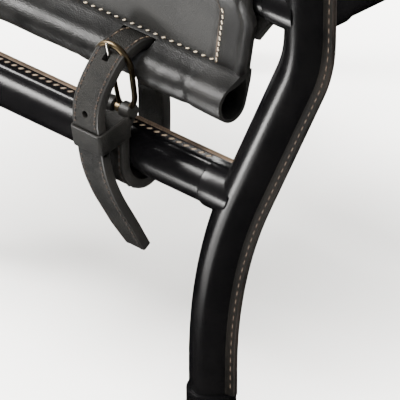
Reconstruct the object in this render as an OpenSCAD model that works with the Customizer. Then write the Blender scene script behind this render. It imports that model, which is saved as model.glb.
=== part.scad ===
// Free-standing magazine rack: two leather-covered tube hoops carry rails, low
// stretchers and a centre bar, and a leather sling with two pockets hangs between them.
// Units are millimetres. The origin is on the floor under the middle of the rack.

/* [Frame] */
// Outer radius of the leather-covered tubes
tube_r = 12.5; // [10:0.5:16]
// Thickness of the leather round the tubes
leather_t = 2; // [1:0.5:3]
// Wall of the steel tubes
core_t = 1.5; // [1:0.1:3]
// Distance from the middle to each long side's tubes
leg_y = 160; // [130:1:200]
// Distance from the middle to the foot of a leg
foot_x = 154.5; // [130:1:200]
// Height of the straight foot below the lower bend
foot_straight = 48; // [30:1:70]
// Slant of the middle of the leg, in degrees
leg_bend = 24.5874; // [10:0.0001:32]
// Radius of the wide lower bend
lower_bend_r = 279; // [200:1:340]
// Length of the straight slanted stretch
slant_len = 91.5; // [60:0.5:130]
// Radius of the tighter upper bend
upper_bend_r = 66; // [45:1:90]
// Height from the upper bend's end to the rail
rail_rise = 12; // [11.5:0.5:30]
// Height from the rail to the start of the arch
arch_rise = 15; // [14:1:60]
// Height of the lower stretcher's axis
stretcher_z = 159; // [110:1:180]
// Height of the sewn welt above the tube
welt_h = 6.3; // [3:0.1:9]
// Thickness of the welt
welt_t = 3.6; // [2:0.1:5]

/* [Cuffs and feet] */
// Height of the leather cuff at the foot
cuff_h = 30; // [20:1:45]
// Thickness of the foot cuff
cuff_t = 1.5; // [1:0.1:2.5]
// Thickness of the glide under each foot
glide_t = 3; // [2:0.5:6]
// Reach of each joint collar from the leg's axis
collar_reach = 21; // [18:0.5:35]
// Thickness of the joint collars
collar_t = 1.2; // [0.8:0.1:2]

/* [Sling] */
// Half the length of the sleeve round the bottom rod
sleeve_half = 170; // [150:1:190]
// Outer radius of the sleeve
sleeve_r = 10.5; // [9:0.1:12.5]
// Thickness of the sleeve's leather
sleeve_t = 2; // [1.5:0.1:3]
// Radius of the rod in the sleeve
rod_r = 8.4; // [5:0.1:8.4]
// How far the rod stays inside the sleeve's end
rod_recess = 12; // [5:1:30]
// Height of the rod above the stretcher
rod_rise = 53; // [45:1:60]
// Inward reach of the stitched fin from the rod's axis
fin_in = 9.4; // [6:0.1:12]
// Upward reach of the stitched fin from the rod's axis
fin_up = 15.8; // [14:0.1:20]
// Thickness of the front panels
front_t = 3; // [2:0.1:3.6]
// Thickness of the inner panels
inner_t = 2.5; // [2:0.1:3.6]
// How much wider each end of the front panel is at the rail than at the stitch line
front_flare = 26.5; // [10:0.5:30]
// How much shorter each end of the inner panel is than the sleeve
inner_inset = 14; // [8:1:40]
// Length of the hand slot under the centre bar
slot_w = 110; // [90:1:140]
// Height of the hand slot
slot_h = 26; // [22:1:34]
// Distance from the centre bar's axis down to the slot
slot_drop = 36; // [30:1:60]

/* [Belts] */
// Distance from the middle to each belt
belt_x = 95; // [60:1:120]
// Width of the belt
belt_w = 20; // [16:0.5:24]
// Thickness of the belt's two layers
belt_t = 6; // [4:0.5:6.5]
// Side clearance of the hanging tail in its keeper
tail_gap = 0.3; // [0.2:0.05:0.6]
// Thickness of the keeper's leather
keeper_t = 1.6; // [1.2:0.1:2.4]
// Height of the keeper
keeper_h = 13; // [10:0.5:15]
// Radius of the buckle ring's wire
wire_r = 1.65; // [1.4:0.05:2]
// Radius of the prong's wire
prong_r = 1.3; // [1:0.05:1.5]
// Half the width of the ring, to the middle of its wire
ring_half_w = 12.85; // [12:0.05:15]
// Half the height of the ring, to the middle of its wire
ring_half_h = 20.35; // [19:0.05:22]
// Outward tilt of the ring, in degrees
ring_tilt = 8; // [4:0.5:12]

/* [Hidden] */
$fn = 64;

core_r = tube_r - leather_t;
bend_1 = [foot_x + lower_bend_r * (1 - cos(leg_bend)), foot_straight + lower_bend_r * sin(leg_bend)];
bend_2 = bend_1 + slant_len * [sin(leg_bend), cos(leg_bend)];
top_x = bend_2.x + upper_bend_r * (1 - cos(leg_bend));
bend_top_z = bend_2.y + upper_bend_r * sin(leg_bend);
rail_z = bend_top_z + rail_rise;
arch_z = rail_z + arch_rise;
bar_z = arch_z + leg_y;
long_reach = top_x + tube_r;
// The leg's slant where the stretcher meets it, and how far out it is there
stretcher_lean = min(leg_bend, asin((stretcher_z - foot_straight) / lower_bend_r));
stretcher_half = foot_x + lower_bend_r * (1 - cos(stretcher_lean))
    + max(0, stretcher_z - bend_1.y) * tan(leg_bend);

// Places in the side plane, as [inward, upward] from a stretcher's axis
touch = 0.2;
rod_at = [0, rod_rise];
rail_at = [0, rail_z - stretcher_z];
bar_at = [leg_y, bar_z - stretcher_z];
stitch_at = rod_at + [fin_in, fin_up];
inner_start = stitch_at + [inner_t, 0.6];
loop_r = tube_r + front_t / 2 + touch;
wrap_r = tube_r + inner_t / 2 + touch;
collar_gap = 0.05;

// Belt: the ring stands on its lower wire, and the strap runs round stretcher and rod
strap_r = belt_t / 2;
strap_out = tube_r + strap_r + touch;
ring_low = [-10, 27.5];
ring_dir = [-sin(ring_tilt), cos(ring_tilt)];
ring_mid = ring_low + ring_half_h * ring_dir;
fold_r = wire_r + belt_t / 2;
ring_clear = 0.3;
prong_gap = 0.3;
prong_lean = ring_tilt + asin((wire_r + prong_r + prong_gap) / (2 * ring_half_h));
prong_len = 2 * ring_half_h + 3;
prong_eye_t = 1.2;
prong_eye_w = 3;
prong_eye_gap = 0.45;
prong_slot = 6.4;
keeper_tilt = 10;
tail_out = -(strap_out + 18.5);
tail_line = [sin(keeper_tilt), -cos(keeper_tilt)];
bulge_low = [tail_out, 29];
tail_pivot = bulge_low + 19 * tail_line;
keeper_mid = bulge_low + 11.8 * tail_line;
over_rod = rod_r + strap_r + 1;
notch_w = belt_w + 5;
notch_r = over_rod + strap_r + 0.6;
hole_r = 2.1;
strap_route = smooth(concat(
    [ring_low + [-0.5, -3], ring_low + [-3.4, -6.6], [-strap_out + 0.2, 13.5], [-strap_out, 4],
     [-strap_out + 0.8, -7], [-9.5, -strap_out - 0.2], [0, -strap_out - 4.2],
     [9.8, -strap_out - 0.6], [strap_out - 0.4, -7], [strap_out + 0.6, 4], [strap_out + 0.6, 25],
     [strap_out - 1.4, 41]],
    [for (a = [0, 45, 90]) rod_at + over_rod * [cos(a), sin(a)]],
    [[-8, 64.4], [-14.6, 62.2], [-21.4, 56.4], [-28.6, 47.4], [-33.2, 38], bulge_low]), 5);
strap_end = tail_pivot - (strap_r + 0.4) * tail_line;
tail_route = smooth(
    [tail_pivot, [-28.9, 0], [-25.6, -10.5], [-19.6, -24], [-12.6, -36.5], [-4.6, -50.5],
     [2.8, -62.6]], 6);
tip_len = 17;

function unit(v) = v / norm(v);
function left_of(v) = [-v.y, v.x];
function turned(v, a) = [v.x * cos(a) - v.y * sin(a), v.x * sin(a) + v.y * cos(a)];
function heading(p, i) = unit(p[min(i + 1, len(p) - 1)] - p[max(i - 1, 0)]);
function beside(p, d) = [for (i = [0:len(p) - 1]) p[i] + d * left_of(heading(p, i))];
function backwards(p) = [for (i = [len(p) - 1:-1:0]) p[i]];
function ribbon(p, t) = concat(beside(p, t / 2), backwards(beside(p, -t / 2)));
function arc(c, r, a0, a1, n) = [for (i = [0:n]) c + r * turned([1, 0], a0 + (a1 - a0) * i / n)];
// A smooth curve through all the points, n steps from each to the next
function between(a, b, c, d, t) = 0.5 * (2 * b + (c - a) * t + (2 * a - 5 * b + 4 * c - d) * t * t
    + (3 * b - a - 3 * c + d) * t * t * t);
function smooth(p, n) = concat(
    [for (i = [0:len(p) - 2], k = [0:n - 1])
        between(p[max(i - 1, 0)], p[i], p[i + 1], p[min(i + 2, len(p) - 1)], k / n)],
    [p[len(p) - 1]]);
// Heading from p to where it touches the left side of a circle, and that length
function touch_angle(p, c, r) = atan2(c.y - p.y, c.x - p.x) + asin(r / norm(c - p));

front_a = touch_angle(stitch_at, rail_at, loop_r);
front_route = concat([stitch_at], arc(rail_at, loop_r, front_a + 90, 0, 16),
    [rail_at + [loop_r - 1.6, -9], rail_at + [loop_r - 7.8, -20],
     stitch_at + 31 * turned([1, 0], front_a) + [front_t + 0.7, 0]]);
inner_a = touch_angle(inner_start, bar_at, wrap_r);
inner_route = concat([inner_start], arc(bar_at, wrap_r, inner_a + 90, 90 + 2, 8));

module at_side(side) {
    mirror([0, side == "far" ? 1 : 0, 0]) children();
}

module at_end(end) {
    mirror([end == "left" ? 1 : 0, 0, 0]) children();
}

// Carries a flat profile up one leg, with the profile's +X facing outward. Each stretch
// is placed from the end of the one below it.
module up_leg(start) {
    translate([foot_x, 0, start]) linear_extrude(foot_straight - start) children();
    translate([foot_x + lower_bend_r, 0, foot_straight]) {
        rotate([90, 0, 180]) rotate_extrude(angle = leg_bend, $fn = 96)
            translate([lower_bend_r, 0]) mirror([1, 0]) children();
        rotate([0, leg_bend, 0]) {
            translate([-lower_bend_r, 0, 0]) linear_extrude(slant_len) children();
            translate([-lower_bend_r - upper_bend_r, 0, slant_len]) {
                rotate([90, 0, 0]) rotate_extrude(angle = leg_bend, $fn = 96)
                    translate([upper_bend_r, 0]) children();
                rotate([0, -leg_bend, 0]) translate([upper_bend_r, 0, 0])
                    linear_extrude(rail_rise + arch_rise) children();
            }
        }
    }
}

// Carries the same profile over the arch from the near leg to the far one
module over_arch() {
    translate([top_x, 0, arch_z]) rotate([90, 0, -90]) rotate_extrude(angle = 180, $fn = 96)
        translate([leg_y, 0]) rotate(-90) children();
}

// The near leg beside the stretcher, as a bar along the leg's slant there
module leg_at_stretcher(r) {
    translate([stretcher_half, -leg_y, stretcher_z]) rotate([0, stretcher_lean, 0])
        cylinder(h = 6 * tube_r, r = r, center = true);
}

module x_rod(r, half, y, z) {
    translate([0, y, z]) rotate([0, 90, 0]) cylinder(h = 2 * half, r = r, center = true);
}

module y_rod(r, half, x, z) {
    translate([x, 0, z]) rotate([90, 0, 0]) cylinder(h = 2 * half, r = r, center = true);
}

module core_profile() {
    difference() {
        circle(core_r);
        circle(core_r - core_t);
    }
}

module tube_skin() {
    difference() {
        circle(tube_r);
        circle(core_r);
    }
}

module welt_profile() {
    difference() {
        translate([0, -welt_t / 2]) square([tube_r + welt_h, welt_t]);
        circle(core_r);
    }
}

module both_ends() {
    children();
    mirror([1, 0, 0]) children();
}

module both_sides() {
    children();
    mirror([0, 1, 0]) children();
}

// The upright stretches at the rails' height, used to shape the ends that meet them
module corner_post(r) {
    translate([top_x, -leg_y, rail_z]) cylinder(h = 4 * tube_r, r = r, center = true);
}

module all_posts(r) {
    both_ends() both_sides() corner_post(r);
}

module leg_core(side, end) {
    color("dimgray") at_side(side) at_end(end) translate([0, -leg_y, 0]) up_leg(glide_t) circle(core_r);
}

module arch_core(end) {
    color("dimgray") at_end(end) over_arch() core_profile();
}

module arch_cover(end) {
    color([0.05, 0.05, 0.06]) at_end(end) over_arch() {
        tube_skin();
        welt_profile();
    }
}

module leg_cover(side, end) {
    color([0.05, 0.05, 0.06]) at_side(side) at_end(end) translate([0, -leg_y, 0]) difference() {
        up_leg(glide_t) circle(tube_r);
        up_leg(0) circle(core_r);
    }
}

module leg_welts() {
    color([0.05, 0.05, 0.06]) both_ends() both_sides() translate([0, -leg_y, 0])
        up_leg(cuff_h) difference() {
            translate([0, -welt_t / 2]) square([tube_r + welt_h, welt_t]);
            circle(tube_r);
        }
}

module foot_cuffs() {
    color([0.1, 0.1, 0.11]) both_ends() both_sides()
        translate([foot_x, -leg_y, glide_t]) difference() {
            cylinder(h = cuff_h - glide_t, r = tube_r + cuff_t);
            cylinder(h = 3 * cuff_h, r = tube_r, center = true);
        }
}

module foot_glides() {
    color("black") both_ends() both_sides()
        translate([foot_x, -leg_y, 0]) cylinder(h = glide_t, r = tube_r + cuff_t);
}

module rail_core(side) {
    color("dimgray") at_side(side) difference() {
        x_rod(core_r, top_x, -leg_y, rail_z);
        x_rod(core_r - core_t, long_reach, -leg_y, rail_z);
        all_posts(tube_r);
    }
}

module rail_cover(side) {
    color([0.05, 0.05, 0.06]) at_side(side) difference() {
        x_rod(tube_r, top_x, -leg_y, rail_z);
        x_rod(core_r, long_reach, -leg_y, rail_z);
        all_posts(tube_r);
    }
}

module end_rail_core(end) {
    color("dimgray") at_end(end) difference() {
        y_rod(core_r, leg_y, top_x, rail_z);
        y_rod(core_r - core_t, leg_y + 2 * tube_r, top_x, rail_z);
        all_posts(tube_r);
        both_sides() x_rod(tube_r + collar_t, top_x, -leg_y, rail_z);
    }
}

module end_rail_cover(end) {
    color([0.05, 0.05, 0.06]) at_end(end) difference() {
        union() {
            y_rod(tube_r, leg_y, top_x, rail_z);
            translate([top_x - welt_t / 2, -leg_y + collar_reach, rail_z])
                cube([welt_t, 2 * (leg_y - collar_reach), tube_r + welt_h]);
        }
        y_rod(core_r, leg_y + 2 * tube_r, top_x, rail_z);
        all_posts(tube_r);
        both_sides() x_rod(tube_r + collar_t, top_x, -leg_y, rail_z);
    }
}

module stretcher_core(side) {
    color("dimgray") at_side(side) difference() {
        x_rod(core_r, stretcher_half, -leg_y, stretcher_z);
        x_rod(core_r - core_t, long_reach, -leg_y, stretcher_z);
        both_ends() leg_at_stretcher(tube_r);
    }
}

module stretcher_cover(side) {
    color([0.05, 0.05, 0.06]) at_side(side) {
        difference() {
            x_rod(tube_r, stretcher_half, -leg_y, stretcher_z);
            x_rod(core_r, long_reach, -leg_y, stretcher_z);
            both_ends() leg_at_stretcher(tube_r);
        }
        difference() {
            translate([-stretcher_half + collar_reach, -leg_y - welt_t / 2, stretcher_z])
                cube([2 * (stretcher_half - collar_reach), welt_t, tube_r + welt_h]);
            x_rod(core_r, long_reach, -leg_y, stretcher_z);
        }
    }
}

module centre_bar_core() {
    color("dimgray") difference() {
        x_rod(core_r, top_x, 0, bar_z);
        x_rod(core_r - core_t, long_reach, 0, bar_z);
        both_ends() over_arch() circle(tube_r);
    }
}

module centre_bar_cover() {
    color([0.05, 0.05, 0.06]) difference() {
        x_rod(tube_r, top_x, 0, bar_z);
        x_rod(core_r, long_reach, 0, bar_z);
        both_ends() over_arch() circle(tube_r);
    }
}

// One thin leather ring along X from a leg's axis, cut to the leg it closes on
module x_collar(axis_x, y, z) {
    translate([axis_x - collar_reach, y, z]) rotate([0, 90, 0]) difference() {
        cylinder(h = collar_reach, r = tube_r + collar_t);
        cylinder(h = 3 * collar_reach, r = tube_r + collar_gap, center = true);
    }
}

module rail_collars() {
    color([0.08, 0.08, 0.09]) both_ends() {
        both_sides() difference() {
            x_collar(top_x, -leg_y, rail_z);
            corner_post(tube_r);
        }
        difference() {
            x_collar(top_x, 0, bar_z);
            over_arch() circle(tube_r);
        }
    }
}

module stretcher_collars() {
    color([0.08, 0.08, 0.09]) both_ends() both_sides() difference() {
        x_collar(stretcher_half, -leg_y, stretcher_z);
        leg_at_stretcher(tube_r);
    }
}

module end_rail_collars() {
    color([0.08, 0.08, 0.09]) both_ends() both_sides() difference() {
        translate([top_x, -leg_y, rail_z]) rotate([-90, 0, 0]) difference() {
            cylinder(h = collar_reach, r = tube_r + collar_t);
            cylinder(h = 3 * collar_reach, r = tube_r + collar_gap, center = true);
        }
        corner_post(tube_r);
        x_rod(tube_r + collar_t, top_x, -leg_y, rail_z);
        translate([top_x, -leg_y - welt_t / 2, rail_z - collar_reach])
            cube([collar_reach, welt_t, 2 * collar_reach]);
    }
}

// Puts a side-plane outline in place and gives it a width along X
module near_strip(w) {
    translate([0, -leg_y, stretcher_z]) rotate([90, 0, 90]) linear_extrude(w, center = true) children();
}

module sling_rod(side) {
    color("darkslategray") at_side(side)
        x_rod(rod_r, sleeve_half - rod_recess, -leg_y, stretcher_z + rod_rise);
}

module sleeve(side) {
    color([0.12, 0.12, 0.13]) at_side(side) difference() {
        near_strip(2 * sleeve_half) difference() {
            union() {
                translate(rod_at) circle(sleeve_r);
                polygon(concat(
                    [rod_at + turned([sleeve_r, 0], -18), stitch_at + [front_t + inner_t, 0],
                     stitch_at + [-front_t / 2, 0]],
                    [rod_at + turned([sleeve_r, 0], 105), rod_at]));
            }
            translate(rod_at) circle(sleeve_r - sleeve_t);
        }
        both_ends() translate([belt_x, -leg_y, stretcher_z + rod_rise]) rotate([0, 90, 0])
            cylinder(h = notch_w, r = notch_r, center = true);
    }
}

module front_panel(side) {
    color([0.14, 0.14, 0.15]) at_side(side) intersection() {
        near_strip(2 * (sleeve_half + front_flare)) polygon(ribbon(front_route, front_t));
        translate([0, 0, stretcher_z]) rotate([90, 0, 0]) linear_extrude(2 * leg_y + 4 * tube_r)
            polygon([[-sleeve_half, stitch_at.y], [sleeve_half, stitch_at.y],
                     [sleeve_half + front_flare, rail_at.y - tube_r],
                     [sleeve_half + front_flare, rail_at.y + 2 * tube_r],
                     [-sleeve_half - front_flare, rail_at.y + 2 * tube_r],
                     [-sleeve_half - front_flare, rail_at.y - tube_r]]);
    }
}

module inner_panel(side) {
    color([0.14, 0.14, 0.15]) at_side(side) difference() {
        near_strip(2 * (sleeve_half - inner_inset)) polygon(ribbon(inner_route, inner_t));
        translate([0, 0, bar_z - slot_drop]) rotate([90, 0, 0]) linear_extrude(2 * leg_y) union() {
            square([slot_w - slot_h, slot_h], center = true);
            both_ends() translate([(slot_w - slot_h) / 2, 0]) circle(slot_h / 2);
        }
    }
}

// Belt pieces are drawn at the middle of the near side and placed by at_belt
module at_belt(side, end) {
    at_side(side) at_end(end) translate([belt_x, -leg_y, stretcher_z]) children();
}

module belt_strip(w) {
    rotate([90, 0, 90]) linear_extrude(w, center = true) children();
}

module oval_ring(r) {
    straight = ring_half_h - ring_half_w;
    translate([0, ring_mid.x, ring_mid.y]) rotate([90 + ring_tilt, 0, 0])
        for (turn = [0, 180]) rotate([0, 0, turn]) {
            translate([0, straight, 0]) rotate_extrude(angle = 180)
                translate([ring_half_w, 0]) circle(r, $fn = 32);
            translate([ring_half_w, 0, 0]) rotate([90, 0, 0])
                cylinder(h = 2 * straight, r = r, center = true, $fn = 32);
        }
}

module prong_line(lean, start, length) {
    translate([0, ring_low.x, ring_low.y]) rotate([lean, 0, 0]) translate([0, 0, start])
        cylinder(h = length, r = prong_r, $fn = 32);
}

module belt_strap(side, end) {
    color([0.16, 0.16, 0.17]) at_belt(side, end) difference() {
        union() {
            belt_strip(belt_w) polygon(ribbon(concat(strap_route, [strap_end]), belt_t));
            belt_strip(belt_w) translate(ring_low) circle(fold_r);
        }
        oval_ring(wire_r + ring_clear);
        translate([0, ring_low.x, ring_low.y]) cube([prong_eye_w + 2, 4 * fold_r, 2 * fold_r], center = true);
        translate([0, ring_low.x, ring_low.y]) rotate([prong_lean, 0, 0])
            translate([-hole_r, -prong_slot + hole_r, fold_r]) cube([2 * hole_r, prong_slot, prong_len]);
        translate([0, bulge_low.x, bulge_low.y + 4]) rotate([90, 0, 0])
            cylinder(h = 4 * belt_t, r = hole_r, center = true, $fn = 32);
    }
}

module belt_tail(side, end) {
    half = belt_w / 2 - tail_gap;
    color([0.16, 0.16, 0.17]) at_belt(side, end) intersection() {
        union() {
            belt_strip(2 * half) polygon(ribbon(tail_route, belt_t));
            belt_strip(2 * half) translate(tail_pivot) circle(strap_r);
        }
        rotate([90, 0, 0]) linear_extrude(400, center = true)
            polygon([[-half, 60], [-half, tail_route[len(tail_route) - 1].y + tip_len],
                     [-half / 3, -100], [half / 3, -100],
                     [half, tail_route[len(tail_route) - 1].y + tip_len], [half, 60]]);
    }
}

module belt_keeper(side, end) {
    front = strap_r + tail_gap + keeper_t;
    color([0.13, 0.13, 0.14]) at_belt(side, end)
        translate([0, keeper_mid.x, keeper_mid.y]) rotate([keeper_tilt, 0, 0])
            difference() {
                translate([-belt_w / 2 - keeper_t, -front, -keeper_h / 2])
                    cube([belt_w + 2 * keeper_t, front - tail_out - strap_out, keeper_h]);
                translate([-belt_w / 2, -front + keeper_t, -keeper_h])
                    cube([belt_w, -2 * tail_out, 2 * keeper_h]);
            }
}

module belt_ring(side, end) {
    color("darkgoldenrod") at_belt(side, end) oval_ring(wire_r);
}

module belt_prong(side, end) {
    eye_r = wire_r + prong_eye_gap;
    color("darkgoldenrod") at_belt(side, end) {
        difference() {
            union() {
                translate([0, ring_low.x, ring_low.y]) rotate([0, 90, 0])
                    cylinder(h = prong_eye_w, r = eye_r + prong_eye_t, center = true, $fn = 32);
                prong_line(prong_lean, eye_r, prong_len - eye_r);
            }
            translate([0, ring_low.x, ring_low.y]) rotate([0, 90, 0])
                cylinder(h = 3 * prong_eye_w, r = eye_r, center = true, $fn = 32);
        }
    }
}

for (end = ["left", "right"]) {
    arch_core(end);
    arch_cover(end);
    end_rail_core(end);
    end_rail_cover(end);
}
for (side = ["near", "far"]) {
    rail_core(side);
    rail_cover(side);
    stretcher_core(side);
    stretcher_cover(side);
    sling_rod(side);
    sleeve(side);
    front_panel(side);
    inner_panel(side);
}
for (side = ["near", "far"], end = ["left", "right"]) {
    leg_core(side, end);
    leg_cover(side, end);
    belt_strap(side, end);
    belt_tail(side, end);
    belt_keeper(side, end);
    belt_ring(side, end);
    belt_prong(side, end);
}
foot_cuffs();
foot_glides();
centre_bar_core();
centre_bar_cover();
rail_collars();
end_rail_collars();
stretcher_collars();
leg_welts();
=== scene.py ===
"""Visual model of a free-standing magazine rack: covered tubes, a stitched leather sling and four belts.

Every piece is built from whole numpy grids, in millimetres in the frame's own axes, and stands for the CAD
nodes of the same part. The origin is on the floor under the middle, the near side is -Y and the right end +X.
"""

import logging
import math
from collections.abc import Callable
from dataclasses import dataclass, field
from enum import Enum

import bmesh
import bpy
import numpy as np
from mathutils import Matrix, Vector

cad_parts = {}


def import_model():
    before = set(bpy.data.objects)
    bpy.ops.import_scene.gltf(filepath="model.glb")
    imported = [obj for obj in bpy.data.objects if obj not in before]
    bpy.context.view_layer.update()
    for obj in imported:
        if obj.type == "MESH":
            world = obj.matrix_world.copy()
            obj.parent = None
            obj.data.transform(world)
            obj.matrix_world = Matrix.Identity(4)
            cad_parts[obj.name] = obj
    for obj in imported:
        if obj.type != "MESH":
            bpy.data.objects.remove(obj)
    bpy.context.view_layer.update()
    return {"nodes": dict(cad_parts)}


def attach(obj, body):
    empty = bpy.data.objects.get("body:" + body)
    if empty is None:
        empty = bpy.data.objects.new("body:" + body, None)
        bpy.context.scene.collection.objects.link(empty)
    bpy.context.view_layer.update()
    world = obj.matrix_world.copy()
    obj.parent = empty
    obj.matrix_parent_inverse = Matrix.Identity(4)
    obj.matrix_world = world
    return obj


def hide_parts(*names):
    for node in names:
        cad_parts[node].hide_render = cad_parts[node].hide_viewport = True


LOG = logging.getLogger("magazine_rack")
MM = 0.001
Cope = Callable[[np.ndarray], np.ndarray]
Swell = Callable[[np.ndarray, np.ndarray], np.ndarray]

TUBE_R = 12.5
LEG_Y = 160.0
FOOT_X = 154.5
FOOT_TOP = 48.0
BEND = math.radians(24.5874)
LOWER_R = 279.0
SLANT = 91.5
UPPER_R = 66.0
TOP_X = 223.853
RAIL_Z = 286.751
ARCH_Z = 301.751
BAR_Z = 461.751
STRETCHER_Z = 159.0
LEAN = math.radians(23.444)
STRETCHER_HALF = 177.53
COLLAR_REACH = 21.0
COLLAR_R = 13.7
LINING_R = 12.52
BELT_X = 95.0
ROD_AT = np.array([0.0, 53.0])
STITCH_AT = np.array([9.4, 68.8])
SLEEVE_HALF = 170.0
WELT_FOOT = 3.4
WELT_FACE = 1.86
SEAM_LIFT = 3.9
SEAM_PITCH = 5.6
HOLE_R = 0.62
HOLE_LIFT = 0.06
CUFF_TOP = 30.5
FLOOR_HALF = 14000.0
HEM = 24.0
HEM_COLUMNS = 301
SMOOTH_ANGLE = 38.0


class Side(Enum):
    """The two long sides, with the sign that mirrors a near piece onto the side."""

    NEAR = ("near", 1)
    FAR = ("far", -1)


class End(Enum):
    """The two short ends, with the sign that mirrors a right-hand piece onto the end."""

    RIGHT = ("right", 1)
    LEFT = ("left", -1)


@dataclass(frozen=True)
class Finish:
    """One material: its two colours, gloss and grain.

    Args:
        name: The material's name.
        base: Main linear colour.
        worn: Linear colour where it is rubbed or dusty.
        roughness: Roughness of the clean surface.
        wear: Share of the surface that shows the worn colour.
        grain: Grain cells per metre.
        depth: Depth of the grain in metres.
        metallic: 1 for metals.
        shine: Specular level.
    """

    name: str
    base: tuple[float, float, float]
    worn: tuple[float, float, float]
    roughness: float
    wear: float = 0.3
    grain: float = 700.0
    depth: float = 0.00006
    metallic: float = 0.0
    shine: float = 0.3


GLOSSY = Finish(
    "glossy_tube_leather", base=(0.0012, 0.0012, 0.0014), worn=(0.005, 0.0047, 0.0047),
    roughness=0.2, wear=0.3, grain=620.0, depth=0.000012, shine=0.16,
)
SLING = Finish(
    "grained_sling_leather", base=(0.014, 0.014, 0.0137), worn=(0.028, 0.0275, 0.0265),
    roughness=0.52, wear=0.6, grain=820.0, depth=0.00014,
)
SLEEVE = Finish(
    "polished_sling_leather", base=(0.0025, 0.0025, 0.0025), worn=(0.011, 0.0105, 0.01),
    roughness=0.32, wear=0.5, grain=820.0, depth=0.00006, shine=0.24,
)
STRAP = Finish(
    "worn_strap_leather", base=(0.003, 0.003, 0.0028), worn=(0.016, 0.015, 0.0135),
    roughness=0.55, wear=0.6, grain=900.0, depth=0.0002, shine=0.16,
)
SMOOTH = Finish(
    "burnished_edge", base=(0.006, 0.006, 0.006), worn=(0.018, 0.016, 0.014),
    roughness=0.4, wear=0.5, grain=900.0, depth=0.00003,
)
RAW = Finish(
    "raw_leather_edge", base=(0.02, 0.014, 0.01), worn=(0.13, 0.09, 0.06),
    roughness=0.75, wear=0.6, grain=1500.0, depth=0.00008,
)
DARK_RAW = Finish(
    "dark_leather_edge", base=(0.004, 0.003, 0.0024), worn=(0.022, 0.015, 0.011),
    roughness=0.7, wear=0.6, grain=1500.0, depth=0.00008,
)
WELT = Finish(
    "matte_welt_leather", base=(0.0022, 0.0021, 0.002), worn=(0.014, 0.011, 0.008),
    roughness=0.62, wear=0.5, grain=900.0, depth=0.00008, shine=0.12,
)
CREAM = Finish(
    "cream_thread", base=(0.42, 0.36, 0.27), worn=(0.25, 0.19, 0.13),
    roughness=0.7, wear=0.5, grain=2500.0, depth=0.00004,
)
BROWN = Finish(
    "brown_thread", base=(0.13, 0.1, 0.07), worn=(0.04, 0.028, 0.02),
    roughness=0.75, wear=0.5, grain=2500.0, depth=0.00004,
)
UMBER = Finish(
    "umber_thread", base=(0.07, 0.052, 0.036), worn=(0.02, 0.014, 0.01),
    roughness=0.75, wear=0.6, grain=2500.0, depth=0.00004,
)
DARK = Finish(
    "dark_thread", base=(0.012, 0.011, 0.011), worn=(0.03, 0.028, 0.026),
    roughness=0.6, wear=0.4, grain=2500.0, depth=0.00004,
)
HOLE = Finish(
    "awl_hole", base=(0.02, 0.012, 0.008), worn=(0.045, 0.028, 0.018),
    roughness=0.85, wear=0.4, grain=2500.0, depth=0.00002,
)
ROD = Finish(
    "rod_leather", base=(0.01, 0.01, 0.011), worn=(0.02, 0.02, 0.02),
    roughness=0.6, wear=0.3, grain=700.0, depth=0.00004,
)
BRASS = Finish(
    "aged_brass", base=(0.2, 0.15, 0.085), worn=(0.075, 0.055, 0.035),
    roughness=0.34, wear=0.6, grain=500.0, depth=0.00004, metallic=1.0,
)
PRONG = Finish(
    "pale_metal", base=(0.5, 0.48, 0.44), worn=(0.26, 0.23, 0.19),
    roughness=0.28, wear=0.4, grain=500.0, depth=0.00003, metallic=1.0,
)
STEEL = Finish(
    "tube_steel", base=(0.3, 0.3, 0.31), worn=(0.2, 0.19, 0.19),
    roughness=0.4, wear=0.4, grain=500.0, depth=0.00002, metallic=1.0,
)
RUBBER = Finish(
    "foot_rubber", base=(0.012, 0.012, 0.012), worn=(0.03, 0.03, 0.03),
    roughness=0.7, wear=0.4, grain=900.0, depth=0.00004,
)
FLOOR = Finish(
    "pale_floor", base=(0.82, 0.81, 0.785), worn=(0.84, 0.83, 0.81),
    roughness=0.75, wear=0.3, grain=30.0, depth=0.0,
)


@dataclass
class Patch:
    """A stretch of surface.

    Args:
        points: (n, 3) corners in millimetres.
        faces: (m, 4) corner numbers.
        finish: (m,) number of each face's finish on the piece.
    """

    points: np.ndarray
    faces: np.ndarray
    finish: np.ndarray

    def placed(self, side: Side, end: End) -> "Patch":
        """Mirrors a near, right-hand patch onto a side and an end.

        Args:
            side: The long side.
            end: The short end.

        Returns:
            The mirrored patch.
        """
        return Patch(self.points * (end.value[1], side.value[1], 1), self.faces, self.finish)


def unit(vectors: np.ndarray) -> np.ndarray:
    """Scales vectors to length 1.

    Args:
        vectors: (..., d) vectors.

    Returns:
        The same directions at length 1.
    """
    return vectors / np.maximum(np.linalg.norm(vectors, axis=-1, keepdims=True), 1e-9)


def grid_patch(grid: np.ndarray, finish: np.ndarray | int = 0, rows_close: bool = False,
               columns_close: bool = True) -> Patch:
    """Joins a grid of points with four-cornered faces.

    Args:
        grid: (rows, columns, 3) points in millimetres.
        finish: One finish number, or one for each column.
        rows_close: The last row joins the first.
        columns_close: The last column joins the first.

    Returns:
        The patch.
    """
    n, m = grid.shape[:2]
    last_row, last_column = (n if rows_close else n - 1), (m if columns_close else m - 1)
    rows, columns = np.meshgrid(np.arange(last_row), np.arange(last_column), indexing="ij")
    down, across = (rows + 1) % n, (columns + 1) % m
    faces = np.stack([rows * m + columns, rows * m + across, down * m + across, down * m + columns], -1)
    tint = np.broadcast_to(finish, (m,))[columns]
    return Patch(grid.reshape(-1, 3), faces.reshape(-1, 4), tint.reshape(-1))


def capped(grid: np.ndarray) -> np.ndarray:
    """Closes both ends of a grid of convex rings with a row drawn together at each end's middle.

    Args:
        grid: (rows, columns, 3) points.

    Returns:
        The grid with two more rows.
    """
    middles = grid[[0, -1]].mean(axis=1, keepdims=True).repeat(grid.shape[1], axis=1)
    return np.concatenate([middles[:1], grid, middles[1:]])


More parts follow.
